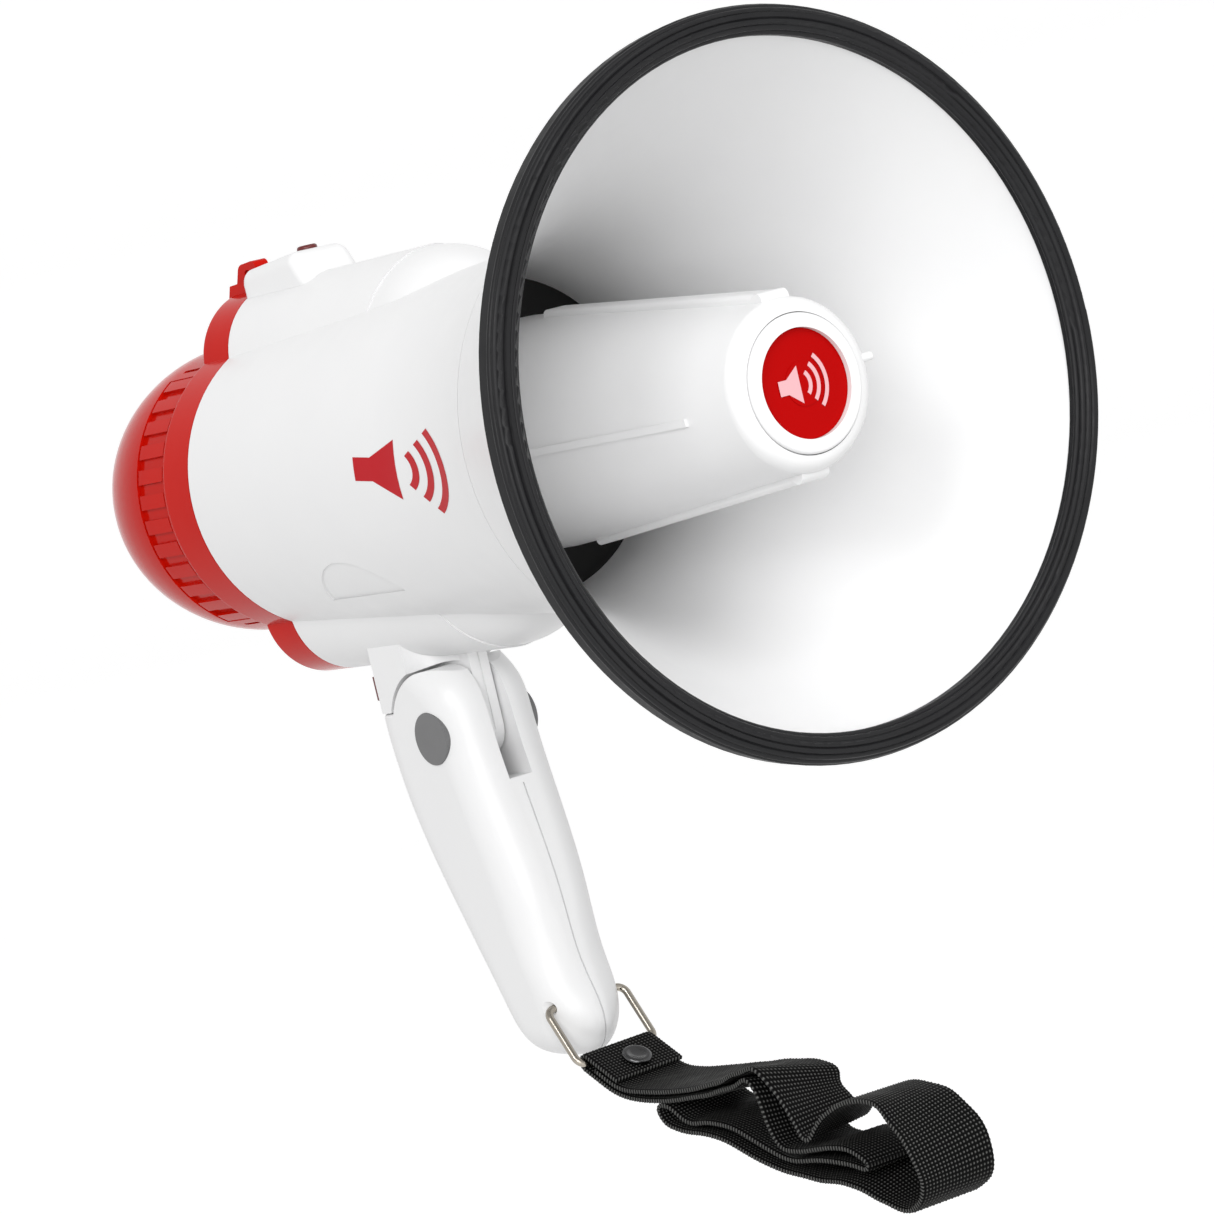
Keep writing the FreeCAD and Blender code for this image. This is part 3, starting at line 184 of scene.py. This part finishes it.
# ---- materials ---------------------------------------------------------------------------------------
def surface(name, colour, shade, rough, patch=40.0, grain=900.0, bump=0.02, spread=0.04, **sockets):
    """A moulded or painted surface: patchy colour, uneven gloss and a fine grain."""
    material = bpy.data.materials.new(name)
    material.use_nodes = True
    tree = material.node_tree
    shader = tree.nodes["Principled BSDF"]
    place = tree.nodes.new("ShaderNodeTexCoord")

    def noise(scale, detail):
        node = tree.nodes.new("ShaderNodeTexNoise")
        node.inputs["Scale"].default_value = scale
        node.inputs["Detail"].default_value = detail
        tree.links.new(place.outputs["Object"], node.inputs["Vector"])
        return node

    patches = noise(patch, 3.0)
    mix = tree.nodes.new("ShaderNodeMix")
    mix.data_type = "RGBA"
    mix.inputs["A"].default_value = (*colour, 1.0)
    mix.inputs["B"].default_value = (*shade, 1.0)
    tree.links.new(patches.outputs["Fac"], mix.inputs["Factor"])
    tree.links.new(mix.outputs["Result"], shader.inputs["Base Color"])
    gloss = noise(patch * 4.0, 4.0)
    reach = tree.nodes.new("ShaderNodeMapRange")
    reach.inputs["From Min"].default_value = 0.3
    reach.inputs["From Max"].default_value = 0.7
    reach.inputs["To Min"].default_value = max(0.02, rough - spread)
    reach.inputs["To Max"].default_value = rough + spread
    tree.links.new(gloss.outputs["Fac"], reach.inputs["Value"])
    tree.links.new(reach.outputs["Result"], shader.inputs["Roughness"])
    fine = noise(grain, 2.0)
    relief = tree.nodes.new("ShaderNodeBump")
    relief.inputs["Strength"].default_value = bump
    relief.inputs["Distance"].default_value = 0.0003
    tree.links.new(fine.outputs["Fac"], relief.inputs["Height"])
    tree.links.new(relief.outputs["Normal"], shader.inputs["Normal"])
    for socket, value in sockets.items():
        shader.inputs[socket.replace("_", " ")].default_value = value
    return material


def paint(material, *names):
    """Give the named CAD nodes this material."""
    for name in names:
        mesh = nodes[name].data
        mesh.materials.clear()
        mesh.materials.append(material)


def dress_frame():
    """Materials for every CAD node but the strap, which the webbing replaces."""
    white = surface("white_abs", (0.80, 0.80, 0.80), (0.77, 0.77, 0.775), 0.33, bump=0.015)
    paint(white, "horn_bell", "nose_cone", "nose_cap", "barrel", "switch_housing", "stem_bracket",
          "handle_shell_left", "handle_shell_right")
    rubber = surface("black_rubber", (0.008, 0.008, 0.009), (0.016, 0.016, 0.017), 0.39, bump=0.12,
                     spread=0.1, Specular_IOR_Level=0.16)
    paint(rubber, "rim_rubber", "microphone_boot", "driver_gasket")
    # The red cap's paler, more orange patches are painted reflections of the lamps in the red plastic.
    cap = surface("red_cap", (0.46, 0.002, 0.001), (0.56, 0.010, 0.002), 0.14, patch=26.0, bump=0.01,
                  Specular_IOR_Level=0.08)
    paint(cap, "rear_collar", "rear_dome")
    badge = surface("red_badge", (0.43, 0.001, 0.001), (0.38, 0.001, 0.001), 0.35,
                    Specular_IOR_Level=0.04)
    paint(badge, "nose_badge")
    button = surface("dark_red", (0.12, 0.004, 0.004), (0.09, 0.003, 0.003), 0.34)
    paint(button, "volume_knob", "signal_button", "talk_button")
    black = surface("black_plastic", (0.006, 0.006, 0.006), (0.010, 0.010, 0.010), 0.4, bump=0.05,
                    Specular_IOR_Level=0.12)
    paint(black, "sound_tube", "throat_plate", "driver_frame", "battery_carrier", "signal_switch",
          "talk_switch", "microphone_grille", "volume_control", "board_components", "strap_rivet")
    grey = surface("grey_cover", (0.16, 0.16, 0.162), (0.135, 0.135, 0.137), 0.55, bump=0.08)
    paint(grey, "pivot_cover_left", "pivot_cover_right")
    steel = surface("zinc_steel", (0.55, 0.55, 0.56), (0.42, 0.42, 0.43), 0.4, spread=0.1, Metallic=1.0)
    paint(steel, "nose_screws", "driver_top_plate", "driver_yoke", "driver_screws", "bracket_screws",
          "talk_springs", "board_screws", "handle_screws", "pivot_bolt", "pivot_nut")
    nickel = surface("nickel", (0.40, 0.37, 0.32), (0.30, 0.27, 0.23), 0.19, spread=0.06, Metallic=1.0)
    paint(nickel, "strap_ring", "front_contacts", "rear_contacts", "microphone_capsule", "volume_shaft")
    board = surface("circuit_board", (0.02, 0.16, 0.05), (0.015, 0.11, 0.04), 0.35, patch=300.0)
    paint(board, "contact_board", "amplifier_board")
    cell = surface("cell_sleeve", (0.03, 0.06, 0.20), (0.02, 0.04, 0.15), 0.34)
    paint(cell, "battery_cell_1", "battery_cell_2", "battery_cell_3", "battery_cell_4")
    paint(surface("ferrite", (0.04, 0.04, 0.045), (0.06, 0.06, 0.06), 0.6, bump=0.2), "driver_magnet")
    paint(surface("diaphragm_film", (0.6, 0.42, 0.15), (0.5, 0.36, 0.12), 0.2), "driver_diaphragm")
    paint(surface("copper_wire", (0.65, 0.25, 0.08), (0.5, 0.18, 0.06), 0.34, Metallic=1.0), "voice_coil")
    paint(surface("lead_red", (0.4, 0.02, 0.015), (0.3, 0.015, 0.01), 0.4), "driver_leads")
    paint(surface("washer_nylon", (0.7, 0.68, 0.6), (0.62, 0.6, 0.52), 0.4), "friction_washers")


# ---- pieces ------------------------------------------------------------------------------------------
def horn_point(x, y, z):
    """A point in the row's frame, from mm: y back from the mouth, z up from the horn's axis."""
    return Vector((x / 1000, y / 1000 + MOUTH_Y, z / 1000 + AXIS_Z))


def add_piece(name, vertices, faces, material, body):
    """A mesh piece that rides on a body and wears the given material."""
    mesh = bpy.data.meshes.new(name)
    mesh.from_pydata([tuple(v) for v in vertices], [], faces)
    mesh.validate()
    mesh.polygons.foreach_set("use_smooth", [True] * len(mesh.polygons))
    mesh.materials.append(material)
    piece = bpy.data.objects.new(name, mesh)
    bpy.context.scene.collection.objects.link(piece)
    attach(piece, body)
    return piece


def bezier(points, t):
    """A value on the cubic that has these four control values."""
    a, b, c, d = points
    u = 1.0 - t
    return a * u ** 3 + 3 * b * t * u ** 2 + 3 * c * t ** 2 * u + d * t ** 3


def barrel_radius(y):
    """The barrel's outer radius at y, both in mm."""
    if y >= FLARE_Y[-1]:
        return FLARE_RADII[-1] - TAPER * (y - FLARE_Y[-1])
    low, high = 0.0, 1.0
    for _ in range(30):
        middle = (low + high) / 2
        if bezier(FLARE_Y, middle) < y:
            low = middle
        else:
            high = middle
    return bezier(FLARE_RADII, low)


def sound_mark():
    """A plain loudspeaker sign with three arcs, as strips of (a, b) pairs across its width, in mm."""
    strips = []
    body = []
    for step in range(21):
        a = SPEAKER_STEP * step
        half = SPEAKER_HALF + max(0.0, a - SPEAKER_NECK) * SPEAKER_SLOPE
        body.append(((a, -half), (a, half)))
    strips.append(body)
    for radius in ARC_RADII:
        arc = []
        for step in range(25):
            turn = math.radians(-ARC_REACH + 2 * ARC_REACH * step / 24)
            outside = radius + ARC_WIDTH
            inner = (ARC_CENTRE + radius * math.cos(turn), radius * math.sin(turn))
            outer = (ARC_CENTRE + outside * math.cos(turn), outside * math.sin(turn))
            arc.append((inner, outer))
        strips.append(arc)
    return strips


def strip_mesh(strips, place, across=6):
    """Vertices and faces of the strips, each cut into several cells across, placed by place(a, b)."""
    vertices, faces = [], []
    for strip in strips:
        first = len(vertices)
        for (a0, b0), (a1, b1) in strip:
            for cut in range(across + 1):
                share = cut / across
                vertices.append(place(a0 + (a1 - a0) * share, b0 + (b1 - b0) * share))
        wide = across + 1
        for row in range(len(strip) - 1):
            for cut in range(across):
                corner = first + row * wide + cut
                faces.append((corner, corner + wide, corner + wide + 1, corner + 1))
    return vertices, faces


def add_marks():
    """The sign printed on the barrel's -X side, and a small one on the badge."""
    red = surface("mark_red", (0.50, 0.003, 0.010), (0.44, 0.002, 0.008), 0.33, Specular_IOR_Level=0.1)
    tilt = math.radians(SIDE_MARK_TILT)
    wider, taller = SIDE_MARK_STRETCH

    def on_barrel(a, b):
        a, b = a * wider, b * taller
        along = a * math.cos(tilt) + b * math.sin(tilt)
        up = b * math.cos(tilt) - a * math.sin(tilt)
        y = SIDE_MARK_Y - along
        radius = barrel_radius(y) + MARK_PROUD
        turn = (SIDE_MARK_Z + up) / radius
        return horn_point(-radius * math.cos(turn), y, radius * math.sin(turn))

    vertices, faces = strip_mesh(sound_mark(), on_barrel)
    add_piece("side_mark", vertices, faces, red, "horn")

    pale = surface("mark_pale", (0.75, 0.42, 0.45), (0.70, 0.38, 0.40), 0.35)

    def on_badge(a, b):
        return horn_point((a - BADGE_MARK_MIDDLE) * BADGE_MARK_SCALE, BADGE_MARK_Y, b * BADGE_MARK_SCALE)

    vertices, faces = strip_mesh(sound_mark(), on_badge)
    add_piece("badge_mark", vertices, faces, pale, "horn")


def tab_point(along, up):
    """A route point on the strap's tab: along it from the ring's bar, and up from its middle layer."""
    y = BAR[0] + along * math.cos(TAB_LEAN) + up * math.sin(TAB_LEAN)
    z = BAR[1] + along * math.sin(TAB_LEAN) - up * math.cos(TAB_LEAN)
    return (y, z, 0.0, 0.0)


def strap_route():
    """The webbing's route in the YZ plane, in mm as horn_point takes them.

    Each point is y, z, then how far the +X edge lies from the middle in y and in z.
    """
    return (
        tab_point(11.0, LAYER),
        tab_point(-LAYER, LAYER),
        tab_point(-LAYER, -LAYER),
        tab_point(12.0, -LAYER),
        (103.0, -148.7, 0.0, 0.0),
        (93.0, -148.3, 0.0, 0.2),
        (82.0, -147.4, 0.0, 0.0),
        (71.0, -146.6, -0.6, -0.8),
        (62.4, -145.4, -1.6, -2.4),
        (60.6, -148.8, -0.6, -1.6),
        (60.0, -154.6, -0.2, -0.6),
        (57.6, -159.4, 0.0, -0.4),
        (51.0, -160.4, 0.0, -0.8),
        (43.0, -158.7, 0.4, -0.3),
        (35.0, -158.7, 0.6, -0.2),
        (29.6, -161.3, 0.4, -0.2),
        (28.2, -163.8, 0.2, -0.2),
        (35.0, -162.3, 0.4, -0.4),
        (45.0, -161.7, 0.2, -0.6),
        (55.0, -162.2, 0.0, -0.4),
        (64.0, -158.9, 0.0, -0.6),
        (72.0, -155.0, 0.0, -0.4),
        (80.0, -153.2, 0.0, 0.0),
        (89.0, -153.4, 0.0, 0.4),
        (94.6, -149.3, 0.0, 0.3),
        (99.6, -149.5, 0.0, 0.0),
        (97.6, -153.8, 0.0, 0.0),
        (91.0, -155.6, 0.0, 0.0),
        (83.0, -155.9, 0.0, 0.0),
        (76.0, -157.6, 0.0, -0.2),
        (66.0, -162.2, 0.0, -0.4),
        (55.0, -164.8, 0.0, -0.2),
        (43.0, -165.4, 0.0, 0.6),
        (32.0, -164.8, -0.4, 1.8),
        (20.8, -173.6, 0.8, -0.4),
        (11.4, -168.4, -0.4, -0.2),
        (11.8, -160.0, -0.8, 1.2),
        (17.6, -152.8, 0.6, 1.0),
        (25.6, -148.4, 2.8, -0.5),
        (35.0, -149.4, 2.5, -0.9),
        (43.4, -152.4, 2.0, -0.5),
        (49.6, -157.8, 1.2, 0.6),
        (52.0, -153.0, 1.4, 0.0),
        (55.6, -148.6, 1.6, -1.4),
        (58.0, -143.4, -2.4, -2.8),
        (66.0, -143.4, -1.4, -1.2),
        (76.0, -144.9, 0.0, -0.2),
        (86.0, -145.9, 0.0, 0.2),
        (95.0, -146.4, 0.0, 0.2),
        (103.0, -146.6, 0.0, 0.0),
        tab_point(12.4, 0.0),
        tab_point(3.4, 0.0),
    )


def rounded_route(points, least, spacing):
    """Even samples of straight runs joined by arcs: (position, skew) pairs, both as vectors of y and z."""
    places = [Vector((p[0], p[1])) for p in points]
    skews = [Vector((p[2], p[3])) for p in points]
    dense = [(places[0], skews[0])]
    for index in range(1, len(points) - 1):
        corner = places[index]
        back = places[index - 1] - corner
        ahead = places[index + 1] - corner
        reach = BEND_SHARE * min(back.length, ahead.length)
        back.normalize()
        ahead.normalize()
        turn = math.pi - back.angle(ahead)
        radius = max(reach / math.tan(turn / 2), least)
        reach = radius * math.tan(turn / 2)
        inward = (back + ahead).normalized()
        centre = corner + inward * (radius / math.cos(turn / 2))
        start = corner + back * reach - centre
        sign = 1.0 if back.x * ahead.y - back.y * ahead.x < 0 else -1.0
        cuts = max(4, int(turn / BEND_STEP))
        for cut in range(cuts + 1):
            angle = sign * turn * cut / cuts
            spin = Matrix(((math.cos(angle), -math.sin(angle)), (math.sin(angle), math.cos(angle))))
            dense.append((centre + spin @ start, skews[index]))
    dense.append((places[-1], skews[-1]))
    even = []
    travelled, due = 0.0, 0.0
    for (here, skew), (there, next_skew) in zip(dense, dense[1:]):
        run = (there - here).length
        while due <= travelled + run and run > 0:
            share = (due - travelled) / run
            even.append((here.lerp(there, share), skew.lerp(next_skew, share)))
            due += spacing
        travelled += run
    return even


def smoothed(vectors, passes):
    """The vectors averaged along the route; the ends stay."""
    for _ in range(passes):
        trios = zip(vectors, vectors[1:], vectors[2:])
        inner = [(before + here * 2 + after) / 4 for before, here, after in trios]
        vectors = [vectors[0], *inner, vectors[-1]]
    return vectors


def webbing_material():
    """Black nylon, with a painted highlight: a paler dot where each yarn crosses over its neighbour."""
    material = surface("webbing_black", (0.0015, 0.0015, 0.0015), (0.003, 0.003, 0.003), 0.5, bump=0.3,
                       grain=5000.0, spread=0.1, Specular_IOR_Level=0.03)
    tree = material.node_tree
    shader = tree.nodes["Principled BSDF"]
    plain = shader.inputs["Base Color"].links[0].from_socket
    place = tree.nodes.new("ShaderNodeUVMap")
    place.uv_map = "weave"
    axes = tree.nodes.new("ShaderNodeSeparateXYZ")
    tree.links.new(place.outputs["UV"], axes.inputs["Vector"])

    def value_of(operation, *values):
        node = tree.nodes.new("ShaderNodeMath")
        node.operation = operation
        for socket, value in zip(node.inputs, values):
            if isinstance(value, float):
                socket.default_value = value
            else:
                tree.links.new(value, socket)
        return node.outputs["Value"]

    def wave(axis):
        return value_of("ABSOLUTE", value_of("COSINE", value_of("MULTIPLY", axes.outputs[axis], math.pi)))

    # Painted highlight: a paler dot on each yarn crossing.
    crest = value_of("POWER", value_of("MULTIPLY", wave("X"), wave("Y")), CROSSING_HIGHLIGHT_SHARPNESS)
    mix = tree.nodes.new("ShaderNodeMix")
    mix.data_type = "RGBA"
    mix.inputs["B"].default_value = CROSSING_HIGHLIGHT_COLOUR
    tree.links.new(crest, mix.inputs["Factor"])
    tree.links.new(plain, mix.inputs["A"])
    tree.links.new(mix.outputs["Result"], shader.inputs["Base Color"])
    return material


def woven_height(row, column, share):
    """Half the webbing's thickness at a mesh point, raised where two yarns cross."""
    crest = math.cos(math.pi * row / CELLS) ** 2 * math.cos(math.pi * column / CELLS) ** 2
    odd = (row // CELLS + column // CELLS) % 2
    edge = max(0.0, abs(share) - SELVEDGE) / (1.0 - SELVEDGE)
    return WEBBING / 2 - VALLEY + (CREST - ODD_DROP * odd) * crest - EDGE_THINNING * edge


def webbing_faces(count, columns):
    """Quads over both faces, both edges and both ends of a strip of count rows."""
    faces = []
    back = count * columns
    for row in range(count - 1):
        for column in range(columns - 1):
            a = row * columns + column
            faces.append((a, a + 1, a + columns + 1, a + columns))
            faces.append((back + a, back + a + columns, back + a + columns + 1, back + a + 1))
        left = row * columns
        right = left + columns - 1
        faces.append((left, left + columns, back + left + columns, back + left))
        faces.append((right, back + right, back + right + columns, right + columns))
    for column in range(columns - 1):
        last = (count - 1) * columns + column
        faces.append((column, back + column, back + column + 1, column + 1))
        faces.append((last, last + 1, back + last + 1, back + last))
    return faces


def add_strap():
    """The wrist strap as woven webbing: every yarn crossing stands up from both faces."""
    step = YARN / CELLS
    samples = rounded_route(strap_route(), LEAST_BEND, step)
    places = smoothed([place for place, _ in samples], PLACE_PASSES)
    skews = smoothed([skew for _, skew in samples], SKEW_PASSES)
    columns = int(round(STRAP_WIDTH / step)) + 1
    count = len(places)
    vertices = []
    for side in (1.0, -1.0):
        for row in range(count):
            along = (places[min(count - 1, row + 1)] - places[max(0, row - 1)]).normalized()
            normal = Vector((-along.y, along.x))
            for column in range(columns):
                share = 2.0 * column / (columns - 1) - 1.0
                height = woven_height(row, column, share)
                middle = places[row] + skews[row] * share + normal * (side * height)
                vertices.append(horn_point(share * STRAP_WIDTH / 2, middle.x, middle.y))
    faces = webbing_faces(count, columns)
    strap = add_piece("webbing", vertices, faces, webbing_material(), "strap")
    weave = strap.data.uv_layers.new(name="weave")
    for loop in strap.data.loops:
        row, column = divmod(loop.vertex_index % (count * columns), columns)
        weave.data[loop.index].uv = (column / CELLS, row / CELLS)
    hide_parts("wrist_strap")


def add_rivet():
    """The strap's rivet, turned from one outline: a dished cap, its shank and a flat foot."""
    top = LAYER + WEBBING / 2 + 0.2
    outline = ((0.0, top + 0.72), (0.9, top + 0.74), (1.6, top + 0.86), (2.1, top + 1.08), (2.5, top + 1.2),
               (2.9, top + 1.16), (3.25, top + 0.95), (3.45, top + 0.6), (3.45, top + 0.2), (3.3, top),
               (1.3, top), (1.3, -top), (2.9, -top), (3.1, -top - 0.2), (3.1, -top - 0.5), (2.8, -top - 0.75),
               (0.0, -top - 0.8))
    around = RIVET_STEPS
    vertices, faces = [], []
    for radius, height in outline:
        for step in range(around):
            turn = 2 * math.pi * step / around
            y, z, _, _ = tab_point(RIVET_AT + radius * math.sin(turn), height)
            vertices.append(horn_point(radius * math.cos(turn), y, z))
    for ring in range(len(outline) - 1):
        low = ring * around
        for step in range(around):
            after = (step + 1) % around
            faces.append((low + step, low + after, low + after + around, low + step + around))
    steel = surface("rivet_steel", (0.10, 0.10, 0.10), (0.07, 0.07, 0.072), 0.2, Metallic=1.0)
    rivet = add_piece("rivet", vertices, faces, steel, "strap")
    skin = bmesh.new()
    skin.from_mesh(rivet.data)
    bmesh.ops.remove_doubles(skin, verts=skin.verts, dist=1e-6)
    bmesh.ops.recalc_face_normals(skin, faces=skin.faces)
    skin.to_mesh(rivet.data)
    skin.free()
    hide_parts("strap_rivet")


add_camera()
add_studio()
add_floor()
dress_frame()
add_marks()
add_strap()
add_rivet()
bpy.context.scene.view_settings.view_transform = "Standard"
